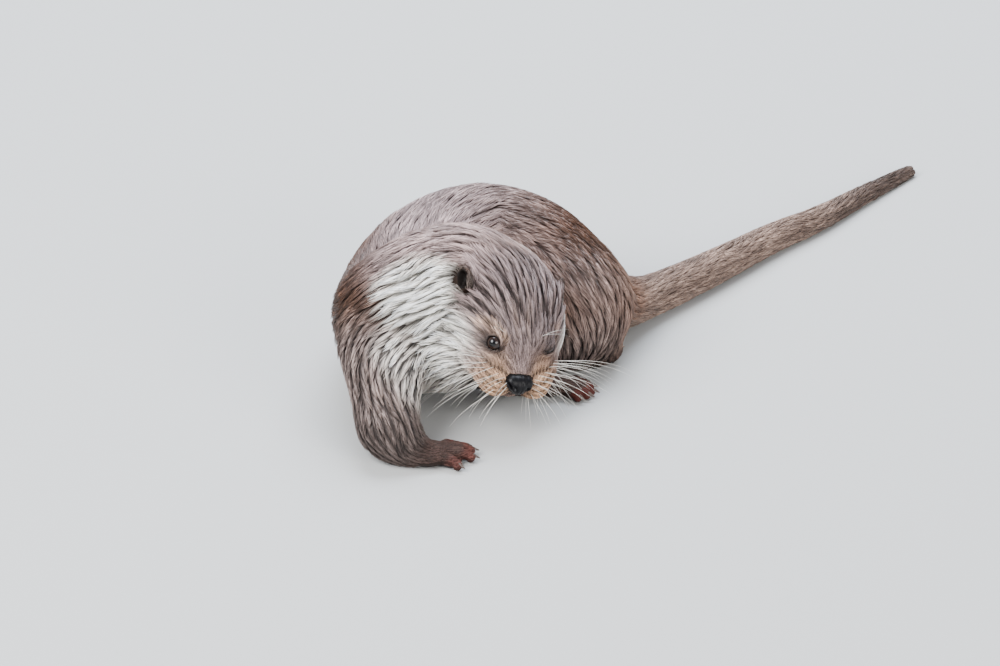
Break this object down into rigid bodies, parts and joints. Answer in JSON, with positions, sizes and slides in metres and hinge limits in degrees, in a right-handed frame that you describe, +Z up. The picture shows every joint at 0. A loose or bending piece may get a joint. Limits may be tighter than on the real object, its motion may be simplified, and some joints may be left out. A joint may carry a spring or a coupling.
{
  "type": "eurasian otter",
  "caption": "Life-size still otter, crouched with its body curled round behind its lowered head and its thick tapering tail trailing on the ground.",
  "frame": {"origin": "middle of the otter's bounding box, on the ground", "axes": "+Z up from the ground; the face looks along -Y and down; the shoulders are at -X and the tail trails away to +X +Y"},
  "size_m": [0.5886, 0.6256, 0.1706],
  "materials": {
    "body_fur": "wet brown fur in pointed locks",
    "head_fur": "wet grey-brown fur, cream on cheek and throat",
    "tail_fur": "short wet tan-brown fur",
    "paw_skin": "short dark fur with bare reddish webs and pads",
    "claw": "dull dark horn",
    "nose_leather": "moist black leather",
    "eye": "wet dark brown, glossy"
  },
  "bodies": {
    "root": {"thorax": "body_fur", "loins": "body_fur", "rump": "body_fur", "eye_left": "eye", "eye_right": "eye", "nose": "nose_leather", "head": "head_fur", "ear_left": "head_fur", "ear_right": "head_fur", "neck": "head_fur", "tail_base": "tail_fur", "tail_middle": "tail_fur", "tail_tip": "tail_fur", "forepaw_right": "paw_skin", "upper_arm_right": "body_fur", "forearm_right": "body_fur", "forepaw_left": "paw_skin", "upper_arm_left": "body_fur", "forearm_left": "body_fur", "hindpaw_left": "paw_skin", "thigh_left": "body_fur", "shank_left": "body_fur", "hindpaw_right": "paw_skin", "thigh_right": "body_fur", "shank_right": "body_fur", "claw_fore_right_1": "claw", "claw_fore_right_2": "claw", "claw_fore_right_3": "claw", "claw_fore_right_4": "claw", "claw_fore_right_5": "claw", "claw_fore_left_1": "claw", "claw_fore_left_2": "claw", "claw_fore_left_3": "claw", "claw_fore_left_4": "claw", "claw_fore_left_5": "claw", "claw_hind_left_1": "claw", "claw_hind_left_2": "claw", "claw_hind_left_3": "claw", "claw_hind_left_4": "claw", "claw_hind_left_5": "claw", "claw_hind_right_1": "claw", "claw_hind_right_2": "claw", "claw_hind_right_3": "claw", "claw_hind_right_4": "claw", "claw_hind_right_5": "claw"}
  },
  "joints": []
}
